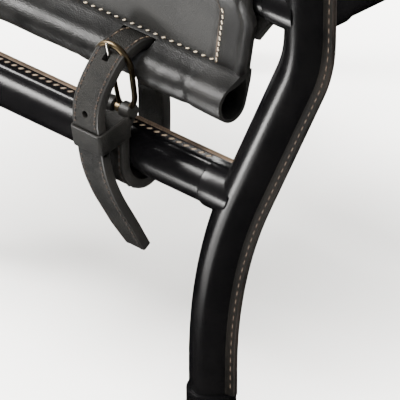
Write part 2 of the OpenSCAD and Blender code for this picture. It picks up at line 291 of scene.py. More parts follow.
def smooth(points: list | np.ndarray, steps: int) -> np.ndarray:
    """A Catmull-Rom curve through all the points: a cubic on each stretch whose slope at a point is half the
    step between its neighbours.

    Args:
        points: (n, d) points.
        steps: Steps on each stretch.

    Returns:
        The curve's points.
    """
    p = np.asarray(points, float)
    q = np.vstack([p[:1], p, p[-1:]])
    a, b, c, d = (q[i:len(q) - 3 + i, None, :] for i in range(4))
    t = (np.arange(steps) / steps)[None, :, None]
    bend, twist = 2 * a - 5 * b + 4 * c - d, 3 * b - a - 3 * c + d
    curve = 0.5 * (2 * b + (c - a) * t + bend * t**2 + twist * t**3)
    return np.vstack([curve.reshape(-1, p.shape[1]), p[-1:]])


def spaced(path: np.ndarray, pitch: float, skip: float = 0.0) -> tuple[np.ndarray, np.ndarray]:
    """Points at equal steps along a path, and the path's direction at each.

    Args:
        path: (n, d) points.
        pitch: Step between points.
        skip: Length left free at each end.

    Returns:
        The points and the unit directions.
    """
    along = np.concatenate([[0], np.cumsum(np.linalg.norm(np.diff(path, axis=0), axis=1))])
    at = np.arange(skip + pitch / 2, along[-1] - skip, pitch)

    def on_path(s: np.ndarray) -> np.ndarray:
        return np.stack([np.interp(s, along, path[:, k]) for k in range(path.shape[1])], -1)

    return on_path(at), unit(on_path(at + pitch / 4) - on_path(at - pitch / 4))


def left_normals(route: np.ndarray) -> np.ndarray:
    """The direction to the left of a flat route at each of its points.

    Args:
        route: (n, 2) points.

    Returns:
        (n, 2) unit normals.
    """
    heading = unit(np.gradient(route, axis=0))
    return np.stack([-heading[:, 1], heading[:, 0]], -1)


def arc(centre: tuple | np.ndarray, radius: float, start: float, stop: float, steps: int) -> np.ndarray:
    """Points on a flat arc: the centre plus the radius times the cosine and sine of evenly stepped angles.

    Args:
        centre: The arc's middle.
        radius: Its radius.
        start: First angle in degrees.
        stop: Last angle in degrees.
        steps: Steps between them.

    Returns:
        (steps + 1, 2) points.
    """
    a = np.radians(np.linspace(start, stop, steps + 1))
    return np.asarray(centre) + radius * np.stack([np.cos(a), np.sin(a)], -1)


def touch_angle(start: np.ndarray, centre: np.ndarray, radius: float) -> float:
    """Heading from a point to where it touches the left side of a circle.

    Args:
        start: The point.
        centre: The circle's middle.
        radius: Its radius.

    Returns:
        The heading in degrees.
    """
    gap = centre - start
    return math.degrees(math.atan2(gap[1], gap[0]) + math.asin(radius / np.linalg.norm(gap)))


def side_points(x: np.ndarray, flat: np.ndarray) -> np.ndarray:
    """Puts near-side points, given as inward and upward from the stretcher's axis, into the frame.

    Args:
        x: Places along the rack.
        flat: (..., 2) inward and upward distances.

    Returns:
        (..., 3) points.
    """
    along = np.broadcast_to(x, flat.shape[:-1])
    return np.stack([along, flat[..., 0] - LEG_Y, flat[..., 1] + STRETCHER_Z], -1)


def stitches(points: np.ndarray, along: np.ndarray, out: np.ndarray, length: float, thick: float,
             slant: float = 0.0) -> list[Patch]:
    """A run of thread stitches: each is a six-sided bead with drawn-in ends, turned by the slant about its
    outward direction and bowed out in the middle, with a small dark disc at each end for its hole.

    Args:
        points: (k, 3) middles.
        along: (k, 3) directions of the run.
        out: (k, 3) outward directions.
        length: Length of a stitch.
        thick: Radius of the thread.
        slant: Angle across the run in degrees.

    Returns:
        The patches, with the thread as finish 0 and the holes as finish 1.
    """
    out = unit(out - along * (out * along).sum(-1, keepdims=True))
    across = np.cross(out, along)
    a = math.radians(slant)
    along, across = along * math.cos(a) + across * math.sin(a), across * math.cos(a) - along * math.sin(a)
    reach = np.array([-1, -0.97, -0.6, 0.6, 0.97, 1]) * length / 2
    girth = np.array([0, 0.45, 1, 1, 0.45, 0]) * thick
    bow = np.array([-0.9, -0.7, 0.25, 0.25, -0.7, -0.9]) * thick
    turn = np.arange(6) * math.pi / 3
    ring = (out[:, None, None] * (bow[:, None, None] + girth[:, None, None] * np.cos(turn)[:, None])
            + across[:, None, None] * (girth[:, None, None] * np.sin(turn)[:, None]))
    beads = points[:, None, None] + along[:, None, None] * reach[:, None, None] + ring
    unit_faces = grid_patch(beads[0]).faces
    k = len(points)
    faces = (unit_faces[None] + (np.arange(k) * 36)[:, None, None]).reshape(-1, 4)
    found = [Patch(beads.reshape(-1, 3), faces, np.zeros(len(faces), int))]
    ends = np.concatenate([points + along * length / 2, points - along * length / 2])
    o, s, t = (np.concatenate([v, v]) for v in (out, across, along))
    hexagon = s[:, None] * np.sin(turn)[:, None] + t[:, None] * np.cos(turn)[:, None]
    rim = ends[:, None] + o[:, None] * HOLE_LIFT + HOLE_R * hexagon
    quads = np.array([[0, 1, 2, 3], [0, 3, 4, 5]])
    faces = (quads[None] + (np.arange(len(ends)) * 6)[:, None, None]).reshape(-1, 4)
    found.append(Patch(rim.reshape(-1, 3), faces, np.ones(len(faces), int)))
    return found


class Leatherwork:
    """Turns patches into finished pieces of the frame."""

    def __init__(self) -> None:
        self.materials: dict[str, bpy.types.Material] = {}
        self.grain = self._grain_group()
        self.patina = self._patina_group()

    @staticmethod
    def _group(name: str, inputs: list[tuple[str, str]],
               outputs: list[tuple[str, str]]) -> bpy.types.NodeTree:
        """Makes an empty shader group with its sockets.

        Args:
            name: The group's name.
            inputs: (name, socket type) of each input.
            outputs: (name, socket type) of each output.

        Returns:
            The group.
        """
        tree = bpy.data.node_groups.new(name, "ShaderNodeTree")
        for in_out, sockets in (("INPUT", inputs), ("OUTPUT", outputs)):
            for label, kind in sockets:
                tree.interface.new_socket(name=label, in_out=in_out, socket_type=kind)
        return tree

    def _grain_group(self) -> bpy.types.NodeTree:
        """Leather grain: creases between cells, with finer noise over them, as a bump.

        Returns:
            The group, with inputs Vector, Cells and Depth and output Normal.
        """
        asked = [("Vector", "NodeSocketVector"), ("Cells", "NodeSocketFloat"), ("Depth", "NodeSocketFloat")]
        tree = self._group("leather_grain", asked, [("Normal", "NodeSocketVector")])
        nodes, link = tree.nodes, tree.links.new
        given, result = nodes.new("NodeGroupInput"), nodes.new("NodeGroupOutput")
        cells = nodes.new("ShaderNodeTexVoronoi")
        cells.feature = "DISTANCE_TO_EDGE"
        crease = nodes.new("ShaderNodeMapRange")
        crease.inputs["From Max"].default_value = 0.22
        fine = nodes.new("ShaderNodeTexNoise")
        fine.inputs["Detail"].default_value = 3
        faster = nodes.new("ShaderNodeMath")
        faster.operation = "MULTIPLY"
        faster.inputs[1].default_value = 0.45
        height = nodes.new("ShaderNodeMath")
        height.operation = "ADD"
        bump = nodes.new("ShaderNodeBump")
        bump.inputs["Strength"].default_value = 0.9
        link(given.outputs["Vector"], cells.inputs["Vector"])
        link(given.outputs["Vector"], fine.inputs["Vector"])
        link(given.outputs["Cells"], cells.inputs["Scale"])
        link(given.outputs["Cells"], faster.inputs[0])
        link(faster.outputs[0], fine.inputs["Scale"])
        link(cells.outputs["Distance"], crease.inputs["Value"])
        link(crease.outputs["Result"], height.inputs[0])
        link(fine.outputs["Fac"], height.inputs[1])
        link(height.outputs[0], bump.inputs["Height"])
        link(given.outputs["Depth"], bump.inputs["Distance"])
        link(bump.outputs["Normal"], result.inputs["Normal"])
        return tree

    def _patina_group(self) -> bpy.types.NodeTree:
        """Rubbed and dusty patches: broad noise broken up by fine noise.

        Returns:
            The group, with inputs Vector and Amount and output Worn.
        """
        tree = self._group("patina", [("Vector", "NodeSocketVector"), ("Amount", "NodeSocketFloat")],
                           [("Worn", "NodeSocketFloat")])
        nodes, link = tree.nodes, tree.links.new
        given, result = nodes.new("NodeGroupInput"), nodes.new("NodeGroupOutput")
        broad, fine = nodes.new("ShaderNodeTexNoise"), nodes.new("ShaderNodeTexNoise")
        broad.inputs["Scale"].default_value, broad.inputs["Detail"].default_value = 38, 5
        fine.inputs["Scale"].default_value, fine.inputs["Detail"].default_value = 420, 4
        blend = nodes.new("ShaderNodeMath")
        blend.operation = "MULTIPLY_ADD"
        blend.inputs[1].default_value = 0.45
        spread = nodes.new("ShaderNodeMapRange")
        spread.inputs["From Min"].default_value, spread.inputs["From Max"].default_value = 0.52, 0.92
        share = nodes.new("ShaderNodeMath")
        share.operation = "MULTIPLY"
        for texture in (broad, fine):
            link(given.outputs["Vector"], texture.inputs["Vector"])
        link(fine.outputs["Fac"], blend.inputs[0])
        link(broad.outputs["Fac"], blend.inputs[2])
        link(blend.outputs[0], spread.inputs["Value"])
        link(spread.outputs["Result"], share.inputs[0])
        link(given.outputs["Amount"], share.inputs[1])
        link(share.outputs[0], result.inputs["Worn"])
        return tree

    def material(self, finish: Finish) -> bpy.types.Material:
        """Makes a finish's material once, patterned on object coordinates.

        Args:
            finish: The finish.

        Returns:
            Its material.
        """
        if finish.name in self.materials:
            return self.materials[finish.name]
        made = bpy.data.materials.new(finish.name)
        made.use_nodes = True
        nodes, link = made.node_tree.nodes, made.node_tree.links.new
        shader = nodes["Principled BSDF"]
        where = nodes.new("ShaderNodeTexCoord")
        grain, patina = nodes.new("ShaderNodeGroup"), nodes.new("ShaderNodeGroup")
        grain.node_tree, patina.node_tree = self.grain, self.patina
        grain.inputs["Cells"].default_value = finish.grain
        grain.inputs["Depth"].default_value = finish.depth
        patina.inputs["Amount"].default_value = finish.wear
        tint = nodes.new("ShaderNodeMix")
        tint.data_type = "RGBA"
        tint.inputs["A"].default_value = (*finish.base, 1)
        tint.inputs["B"].default_value = (*finish.worn, 1)
        rub = nodes.new("ShaderNodeMapRange")
        rub.inputs["To Min"].default_value = finish.roughness
        rub.inputs["To Max"].default_value = min(1.0, finish.roughness + 0.2)
        shader.inputs["Metallic"].default_value = finish.metallic
        shader.inputs["Specular IOR Level"].default_value = finish.shine
        for group in (grain, patina):
            link(where.outputs["Object"], group.inputs["Vector"])
        link(patina.outputs["Worn"], tint.inputs["Factor"])
        link(patina.outputs["Worn"], rub.inputs["Value"])
        link(tint.outputs["Result"], shader.inputs["Base Color"])
        link(rub.outputs["Result"], shader.inputs["Roughness"])
        if finish.depth:
            link(grain.outputs["Normal"], shader.inputs["Normal"])
        self.materials[finish.name] = made
        return made

    def mesh_object(self, name: str, patches: list[Patch], finishes: list[Finish]) -> bpy.types.Object:
        """Joins patches into one closed mesh with its place in its corners.

        Args:
            name: The piece's name.
            patches: Its surfaces.
            finishes: The finishes that the patches number.

        Returns:
            The object, at the origin.
        """
        starts = np.cumsum([0] + [len(p.points) for p in patches[:-1]])
        points = np.concatenate([p.points for p in patches]) * MM
        faces = np.concatenate([p.faces + s for p, s in zip(patches, starts)])
        mesh = bpy.data.meshes.new(name)
        mesh.from_pydata(points.tolist(), [], faces.tolist())
        tints = np.concatenate([p.finish for p in patches]).astype(np.int32)
        mesh.polygons.foreach_set("material_index", tints)
        for finish in finishes:
            mesh.materials.append(self.material(finish))
        edit = bmesh.new()
        edit.from_mesh(mesh)
        bmesh.ops.remove_doubles(edit, verts=edit.verts, dist=0.00001)
        bmesh.ops.recalc_face_normals(edit, faces=edit.faces)
        edit.to_mesh(mesh)
        edit.free()
        mesh.shade_smooth()
        mesh.set_sharp_from_angle(angle=math.radians(SMOOTH_ANGLE))
        made = bpy.data.objects.new(name, mesh)
        bpy.context.scene.collection.objects.link(made)
        return made

    def piece(self, name: str, patches: list[Patch], finishes: list[Finish], slot: str, nodes: list[str],
              body: str = "rack", cutters: list[Patch] | None = None) -> bpy.types.Object:
        """Makes a finished piece, cut by its cutters, that stands for CAD nodes and rides on a body.

        Args:
            name: The piece's name.
            patches: Its surfaces.
            finishes: Its finishes.
            slot: Name of the record's material slot; not used.
            nodes: The CAD nodes that it stands for.
            body: The CAD body that it moves with.
            cutters: Closed solids cut away from it.

        Returns:
            The piece.
        """
        made = self.mesh_object(name, patches, finishes)
        if cutters:
            tool = self.mesh_object("cutter", cutters, finishes[-1:])
            cut = made.modifiers.new("cut", "BOOLEAN")
            cut.object, cut.operation, cut.solver = tool, "DIFFERENCE", "EXACT"
            worked_out = made.evaluated_get(bpy.context.evaluated_depsgraph_get())
            shape = bpy.data.meshes.new_from_object(worked_out)
            made.modifiers.clear()
            made.data = shape
            bpy.data.objects.remove(tool, do_unlink=True)
            made.data.set_sharp_from_angle(angle=math.radians(SMOOTH_ANGLE))
        if nodes:
            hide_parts(*nodes)
        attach(made, body)
        return made


def welt_outline(rise: np.ndarray) -> tuple[np.ndarray, np.ndarray]:
    """Cross-section of a leather tube with a sewn welt on its first axis. The welt's two layers stand side by
    side: its foot is a small fillet, its faces are flat, its top corners are rounded and a groove parts them.

    Args:
        rise: (n,) share of the welt's full height at each station.

    Returns:
        (n, m, 2) outline points as outward and sideways, and (m,) 1 on the raw top edges.
    """
    half = np.array([[WELT_FOOT, 0.0], [2.5, 0.35], [2.0, 1.0], [1.8, 2.0], [1.8, 3.6], [1.8, 5.3],
                     [1.7, 5.9], [1.3, 6.25], [0.75, 6.3], [0.3, 6.15], [0.1, 5.4]])
    side = np.concatenate([-half[:, 0], half[::-1, 0]])
    lift = np.concatenate([half[:, 1], half[::-1, 1]])
    foot = np.sqrt(TUBE_R**2 - side**2)
    welt = np.stack([foot + rise[:, None] * np.where(lift > 0, TUBE_R + lift - foot, 0),
                     np.broadcast_to(side, (len(rise), len(side)))], -1)
    first = math.degrees(math.asin(WELT_FOOT / TUBE_R))
    body = arc((0, 0), TUBE_R, first, 360 - first, 40)[1:-1]
    outline = np.concatenate([welt, np.broadcast_to(body, (len(rise), *body.shape))], axis=1)
    raw = np.zeros(outline.shape[1], int)
    raw[6:15] = 1
    return outline, raw


@dataclass
class Hoops:
    """The two end hoops: legs, arches and their welts."""

    works: Leatherwork

    def path(self) -> tuple[np.ndarray, np.ndarray, np.ndarray]:
        """The right-hand hoop's middle line: a straight foot, a wide arc, a straight slant, a tight arc back
        to upright, a half circle over to the far side, and the same down again.

        Returns:
            (n, 3) points, outward directions and sideways directions.
        """
        lower = np.linspace(0, BEND, 17)
        bend = (FOOT_X + LOWER_R * (1 - math.cos(BEND)), FOOT_TOP + LOWER_R * math.sin(BEND))
        slant = np.linspace(0, SLANT, 9)[1:]
        knee = (bend[0] + SLANT * math.sin(BEND), bend[1] + SLANT * math.cos(BEND))
        upper = np.linspace(BEND, 0, 13)[1:]
        foot = np.array([3.2, 16, 29.9, 31, 34, 40])
        x = np.concatenate([np.full(6, FOOT_X), FOOT_X + LOWER_R * (1 - np.cos(lower)),
                            bend[0] + slant * math.sin(BEND),
                            knee[0] + UPPER_R * (np.cos(upper) - math.cos(BEND)), np.full(2, TOP_X)])
        z = np.concatenate([foot, FOOT_TOP + LOWER_R * np.sin(lower), bend[1] + slant * math.cos(BEND),
                            knee[1] + UPPER_R * (math.sin(BEND) - np.sin(upper)), [RAIL_Z, ARCH_Z]])
        tilt = np.concatenate([np.zeros(6), lower, np.full(8, BEND), upper, np.zeros(2)])
        leg = np.stack([x, np.full_like(x, -LEG_Y), z], -1)
        out = np.stack([np.cos(tilt), np.zeros_like(tilt), -np.sin(tilt)], -1)
        over = np.linspace(0, math.pi, 73)[1:-1]
        arch = np.stack([np.full_like(over, TOP_X), -LEG_Y * np.cos(over),
                         ARCH_Z + LEG_Y * np.sin(over)], -1)
        sideways = np.stack([np.zeros_like(over), np.cos(over), -np.sin(over)], -1)
        flat = np.zeros_like(leg) + (0, 1, 0)
        mirror = np.array([1, -1, 1])
        points = np.concatenate([leg, arch, leg[::-1] * mirror])
        outs = np.concatenate([out, np.zeros_like(arch) + (1, 0, 0), out[::-1]])
        return points, outs, np.concatenate([flat, sideways, -flat])

    def build(self) -> None:
        """Makes both hoops and their stitching."""
        points, out, sideways = self.path()
        rise = np.where(points[:, 2] > CUFF_TOP, 1.0, 0.0)
        outline, raw = welt_outline(rise)
        grid = points[:, None] + out[:, None] * outline[..., :1] + sideways[:, None] * outline[..., 1:]
        raw[[*range(1, 6), *range(15, 20)]] = 2
        tube = grid_patch(capped(grid), raw)
        seam = points + out * (TUBE_R + SEAM_LIFT)
        runs = []
        for face in (-1, 1):
            at, along = spaced(seam[4:-4] + face * WELT_FACE * sideways[4:-4], SEAM_PITCH)
            nearest = np.argmin(((at[:, None] - seam[None]) ** 2).sum(-1), axis=1)
            runs += stitches(at, along, sideways[nearest] * face, 2.6, 0.3)
        for end in End:
            name = end.value[0]
            covers = [f"{name}_arch_cover", f"near_{name}_leg_cover", f"far_{name}_leg_cover", "leg_welts"]
            self.works.piece(f"{name}_hoop", [tube.placed(Side.NEAR, end)], [GLOSSY, DARK_RAW, WELT],
                             "tube_leather", covers)
            self.works.piece(f"{name}_hoop_stitching", [p.placed(Side.NEAR, end) for p in runs],
                             [UMBER, HOLE], "tube_leather", [])


@dataclass
class CrossTubes:
    """Rails, stretchers, end rails and the centre bar, shaped to the hoops, with their collars."""

    works: Leatherwork

    @staticmethod
    def between(outline: np.ndarray, reach: np.ndarray, steps: int = 24) -> np.ndarray:
        """A straight tube along the first axis whose ends follow the posts: every outline point runs evenly
        from minus its reach to its reach.

        Args:
            outline: (m, 2) points across the tube.
            reach: (m,) half length at each point.
            steps: Stations along it.

        Returns:
            (steps, m, 3) points along, across and up.
        """
        share = np.linspace(-1, 1, steps)[:, None]
        across, up = (np.broadcast_to(outline[:, k], (steps, len(outline))) for k in (0, 1))
        return np.stack([share * reach, across, up], -1)

    def build(self) -> None:
        """Makes every cross tube, its stitching and its collars."""
        turn = np.radians(np.arange(0, 360, 9))
        plain = TUBE_R * np.stack([np.cos(turn), np.sin(turn)], -1)
        welted, raw = welt_outline(np.ones(1))
        welted = welted[0][:, ::-1]
        for side in Side:
            name = side.value[0]
            rail = self.between(plain, upright_cope(plain)) + (0, -LEG_Y, RAIL_Z)
            self.works.piece(f"{name}_rail", [grid_patch(capped(rail)).placed(side, End.RIGHT)], [GLOSSY],
                             "tube_leather", [f"{name}_rail_cover"])
            bar = self.between(welted, slanted_cope(welted)) + (0, -LEG_Y, STRETCHER_Z)
            self.works.piece(f"{name}_stretcher", [grid_patch(capped(bar), raw).placed(side, End.RIGHT)],
                             [GLOSSY, RAW], "tube_leather", [f"{name}_stretcher_cover"])
            runs = self.seam_stitches(STRETCHER_HALF - COLLAR_REACH, (0, -LEG_Y, STRETCHER_Z))
            self.works.piece(f"{name}_stretcher_stitching", [p.placed(side, End.RIGHT) for p in runs],
                             [BROWN, HOLE], "tube_leather", [])
        across = self.between(welted, LEG_Y - np.sqrt(np.maximum(TUBE_R**2 - welted[:, 0] ** 2, 0)))
        across = across[..., [1, 0, 2]] + (TOP_X, 0, RAIL_Z)
        runs = [Patch(p.points[:, [1, 0, 2]] + (TOP_X, 0, RAIL_Z), p.faces, p.finish)
                for p in self.seam_stitches(LEG_Y - COLLAR_REACH, (0, 0, 0))]
        for end in End:
            name = end.value[0]
            self.works.piece(f"{name}_end_rail", [grid_patch(capped(across), raw).placed(Side.NEAR, end)],
                             [GLOSSY, RAW], "tube_leather", [f"{name}_end_rail_cover"])
            self.works.piece(f"{name}_end_rail_stitching", [p.placed(Side.NEAR, end) for p in runs],
                             [BROWN, HOLE], "tube_leather", [])
        top = self.between(plain, upright_cope(plain[:, ::-1])) + (0, 0, BAR_Z)
        self.works.piece("centre_bar", [grid_patch(capped(top))], [GLOSSY], "tube_leather",
                         ["centre_bar_cover"])
        self.build_collars()

    @staticmethod
    def seam_stitches(half: float, centre: tuple[float, float, float]) -> list[Patch]:
        """Stitches on both faces of a straight tube's welt.

        Args:
            half: Half the welt's length.
            centre: The tube's middle.

        Returns:
            The stitches.
        """
        found = []
        for face in (-1, 1):
            place = (face * WELT_FACE, TUBE_R + SEAM_LIFT)
            at, along = spaced(np.array([[-half, *place], [half, *place]]) + centre, SEAM_PITCH)
            found += stitches(at, along, np.zeros_like(at) + (0, face, 0), 4.4, 0.5, 20)
        return found

    def build_collars(self) -> None:
        """Makes the collars where tubes meet the hoops."""
        rail = self.ring_on(upright_cope, TOP_X) + (0, -LEG_Y, RAIL_Z)
        bar = self.ring_on(lambda o: upright_cope(o[:, ::-1]), TOP_X) + (0, 0, BAR_Z)
        low = self.ring_on(slanted_cope, STRETCHER_HALF) + (0, -LEG_Y, STRETCHER_Z)
        end = self.ring_on(lambda o: LEG_Y - np.sqrt(np.maximum(TUBE_R**2 - o[:, 0] ** 2, 0)), LEG_Y)
        end = end[..., [1, 0, 2]] + (TOP_X, 0, RAIL_Z)
        rails, lows, ends = ([grid_patch(ring, rows_close=True).placed(s, e) for s in Side for e in End]
                             for ring in (rail, low, end))
        rails += [grid_patch(bar, rows_close=True).placed(Side.NEAR, e) for e in End]
        groups = (("rail_collars", rails), ("stretcher_collars", lows), ("end_rail_collars", ends))
        for name, patches in groups:
            self.works.piece(f"{name}_leather", patches, [GLOSSY], "tube_leather", [name])

    @staticmethod
    def ring_on(cope: Cope, half: float) -> np.ndarray:
        """A thin ring on a tube's end. Its rows run from the inner rim over a rounded free edge and along to
        the post.

        Args:
            cope: Gives the half length at outline points.
            half: Distance from the tube's middle to the post's axis.

        Returns:
            (rows, m, 3) points.
        """
        turn = np.radians(np.arange(0, 360, 9))
        round_by = np.stack([np.cos(turn), np.sin(turn)], -1)
        rows = []
        profile = ((LINING_R, COLLAR_REACH), (13.2, COLLAR_REACH), (13.6, COLLAR_REACH - 0.4),
                   (COLLAR_R, COLLAR_REACH - 1.1), (COLLAR_R, 14.0), (COLLAR_R, 0.0), (LINING_R, 0.0))
        for radius, back in profile:
            ring = round_by * radius
            limit = cope(ring)
            along = np.minimum(half - back, limit) if back else limit
            rows.append(np.column_stack([along, ring]))
        return np.array(rows)


def upright_cope(outline: np.ndarray) -> np.ndarray:
    """Half length of a tube along X at the surface of an upright post: the post's place less the square root
    of its squared radius less the squared sideways distance.

    Args:
        outline: (m, 2) sideways and upward distances.

    Returns:
        (m,) half lengths.
    """
    return TOP_X - np.sqrt(np.maximum(TUBE_R**2 - outline[:, 0] ** 2, 0))


def slanted_cope(outline: np.ndarray) -> np.ndarray:
    """The same on a leg that leans outward: the square root is measured square to the leg, and height moves
    the meeting place outward along the lean.

    Args:
        outline: (m, 2) sideways and upward distances.

    Returns:
        (m,) half lengths.
    """
    depth = np.sqrt(np.maximum(TUBE_R**2 - outline[:, 0] ** 2, 0))
    return STRETCHER_HALF + (outline[:, 1] * math.sin(LEAN) - depth) / math.cos(LEAN)


@dataclass
class Feet:
    """Leather cuffs and rubber glides under the legs."""

    works: Leatherwork

    @staticmethod
    def lathe(profile: list[tuple[float, float]], steps: int = 48) -> np.ndarray:
        """Turns a profile about a near, right-hand leg: every radius is carried round by cosine and sine.

        Args:
            profile: (radius, height) points.
            steps: Points round.

        Returns:
            (n, steps, 3) points.
        """
        p = np.array(profile)
        turn = np.arange(steps) * 2 * math.pi / steps
        return np.stack([FOOT_X + p[:, :1] * np.cos(turn), -LEG_Y + p[:, :1] * np.sin(turn),
                         np.broadcast_to(p[:, 1:], (len(p), steps))], -1)

    def build(self) -> None:
        """Makes the four cuffs and glides."""
        cuff = grid_patch(self.lathe([(LINING_R, 3.1), (13.7, 3.1), (14, 3.6), (14, 27.6), (14.05, 28.6),
                                      (13.8, 29.6), (13.2, 30), (LINING_R, 30)]), rows_close=True)
        glide = grid_patch(self.lathe([(0, 0), (12.6, 0), (13.6, 0.5), (14, 1.4), (14, 3), (0, 3)]))
        places = [(s, e) for s in Side for e in End]
        self.works.piece("foot_cuff_leather", [cuff.placed(*p) for p in places], [GLOSSY], "tube_leather",
                         ["foot_cuffs"])
        self.works.piece("foot_glide_rubber", [glide.placed(*p) for p in places], [RUBBER], "foot_rubber",
                         ["foot_glides"])


def ribbon(route: np.ndarray, half: np.ndarray, thick: float, columns: int = 3, centre: float = 0.0,
           swell: Swell | None = None) -> Patch:
    """A strip of leather along a near-side route, with rounded edges. Each section is a thin rectangle whose
    faces lie half the thickness to each side of the route.

    Args:
        route: (n, 2) inward and upward points.
        half: (n,) half width at each.
        thick: Thickness.
        columns: Columns across each face.
        centre: The strip's place along the rack.
        swell: Gives extra thickness from (n, m) places across and along the left face.

    Returns:
        The closed strip, with its edges as finish 1.
    """
    share = np.linspace(-1, 1, columns)
    bead = min(0.8, thick * 0.3)
    across = np.concatenate([share, [1, 1, 1, 1], share[::-1], [-1, -1, -1, -1]])
    inset = np.concatenate([-bead * share, [-bead * 0.3, 0, 0, -bead * 0.3], -bead * share[::-1],
                            [bead * 0.3, 0, 0, bead * 0.3]])
    low = thick / 2
    corner = np.array([low - bead * 0.3, low - bead, bead - low, bead * 0.3 - low])
    off = np.concatenate([np.full(columns, low), corner, np.full(columns, -low), corner[::-1]])
    x = across * half[:, None] + inset
    lift = np.broadcast_to(off, x.shape).copy()
    if swell is not None:
        lift += swell(x, half[:, None]) * (off > 0)
    flat = route[:, None] + left_normals(route)[:, None] * lift[..., None]
    edge = np.zeros(len(across), int)
    edge[columns - 1:columns + 4] = 1
    edge[-5:] = 1
    return grid_patch(capped(side_points(x + centre, flat)), edge)


@dataclass
class Sling:
    """Rods, sleeves, front panels and inner panels."""

    works: Leatherwork
    rail_at: np.ndarray = field(default_factory=lambda: np.array([0.0, RAIL_Z - STRETCHER_Z]))
    bar_at: np.ndarray = field(default_factory=lambda: np.array([LEG_Y, BAR_Z - STRETCHER_Z]))

    def front_route(self) -> tuple[np.ndarray, float]:
        """The front panel's route: straight from the stitch line to the rail, over it, and down inside to be
        sewn against itself.

        Returns:
            (n, 2) points and the straight part's heading in degrees.
        """
        loop = 14.2
        heading = touch_angle(STITCH_AT, self.rail_at, loop)
        way = np.array([math.cos(math.radians(heading)), math.sin(math.radians(heading))])
        over = arc(self.rail_at, loop, heading + 90, 0, 20)
        straight = STITCH_AT + np.linspace(0, 1, 13)[:-1, None] * (over[0] - STITCH_AT)
        tail = smooth([over[-1], self.rail_at + (loop - 1.6, -9), self.rail_at + (loop - 7.8, -20),
                       STITCH_AT + 31 * way + (3.7, 0)], 4)[1:]
        return np.concatenate([straight, over, tail]), heading

    def front_half(self, route: np.ndarray) -> np.ndarray:
        """Half the front panel's width, growing evenly from the stitch line to the rail.

        Args:
            route: (n, 2) points.

        Returns:
            (n,) half widths.
        """
        share = (route[:, 1] - (STITCH_AT[1] - 5)) / (self.rail_at[1] - TUBE_R - STITCH_AT[1] + 5)
        return SLEEVE_HALF + 26.5 * np.clip(share, 0, 1)

    @staticmethod
    def hem(x: np.ndarray, half: np.ndarray) -> np.ndarray:
        """Extra thickness of the front panel: a turned hem 24 mm wide at each side, with a soft step at its
        inner edge, a groove beside it and a thicker rolled edge.

        Args:
            x: Places across.
            half: Half width at each row.

        Returns:
            Extra thickness.
        """
        inside = half - np.abs(x)
        step = 0.9 / (1 + np.exp(-(HEM - inside) / 0.35))
        roll = 1.5 * np.exp(-(((inside - 4.5) / 3.2) ** 2))
        return step + roll - 0.7 * np.exp(-(((inside - 25.4) / 1.1) ** 2))

    def front_panel(self, side: Side) -> None:
        """Makes one front panel with its hem stitching and saddle stitches.

        Args:
            side: The long side.
        """
        name = side.value[0]
        route, _ = self.front_route()
        half = self.front_half(route)
        panel = ribbon(route, half, 3.0, HEM_COLUMNS, swell=self.hem)
        column = np.arange(len(panel.faces)) % (2 * HEM_COLUMNS + 8)
        share = np.linspace(-1, 1, HEM_COLUMNS)[np.minimum(column, HEM_COLUMNS - 1)]
        mean_half = 190.0
        inside = mean_half * (1 - np.abs(share))
        front = (column < HEM_COLUMNS - 1) & (inside > 1)
        rim = np.where(front & (inside < HEM + 1), 3, panel.finish)
        panel.finish = np.where(front & (inside < HEM - 1), 2, rim)
        made = self.works.piece(f"{name}_front_leather", [panel.placed(side, End.RIGHT)],
                                [SLING, SMOOTH, SLEEVE, RAW], "sling_leather", [f"{name}_front_panel"])
        normal = left_normals(route)
        outward = (0, normal[0][0], normal[0][1])
        runs = []
        rows = slice(0, 13)
        for end in End:
            line = side_points(end.value[1] * (half[rows] - 21.6), (route + normal * 2.45)[rows])
            at, along = spaced(line, 5.8, 1.5)
            runs += stitches(at, along, np.zeros_like(at) + outward, 3.9, 0.45, 12)
        seam = side_points(np.array([-SLEEVE_HALF + 2, SLEEVE_HALF - 2]), np.array([STITCH_AT, STITCH_AT])
                           + normal[0] * 1.75 + (0, 1.0))
        at, along = spaced(seam, 6.0)
        runs += stitches(at, along, np.zeros_like(at) + outward, 4.6, 0.55, 28)
        self.works.piece(f"{name}_front_stitching", [p.placed(side, End.RIGHT) for p in runs],
                         [CREAM, HOLE], "sling_leather", [])

    def inner_panel(self, side: Side) -> None:
        """Makes one inner panel with its hand slot.

        Args:
            side: The long side.
        """
        name = side.value[0]
        start, wrap = STITCH_AT + (2.5, 0.6), 13.95
        heading = touch_angle(start, self.bar_at, wrap)
        over = arc(self.bar_at, wrap, heading + 90, 92, 8)
        route = np.concatenate([start + np.linspace(0, 1, 25)[:-1, None] * (over[0] - start), over])
        half = np.full(len(route), SLEEVE_HALF - 14)
        panel = ribbon(route, half, 2.5, 61)
        turn = np.radians(np.linspace(-90, 90, 17))
        end = np.stack([42 + 13 * np.cos(turn), 13 * np.sin(turn)], -1)
        stadium = np.concatenate([end, -end])
        depth = np.array([-40.0, -4.0])[:, None]
        cutter = np.stack([np.broadcast_to(stadium[:, 0], (2, 34)), np.broadcast_to(depth, (2, 34)),
                           np.broadcast_to(stadium[:, 1] + BAR_Z - 36, (2, 34))], -1)
        made = self.works.piece(f"{name}_inner_leather", [panel.placed(side, End.RIGHT)], [SLING, SMOOTH],
                                "sling_leather", [f"{name}_inner_panel"],
                                cutters=[grid_patch(capped(cutter)).placed(side, End.RIGHT)])

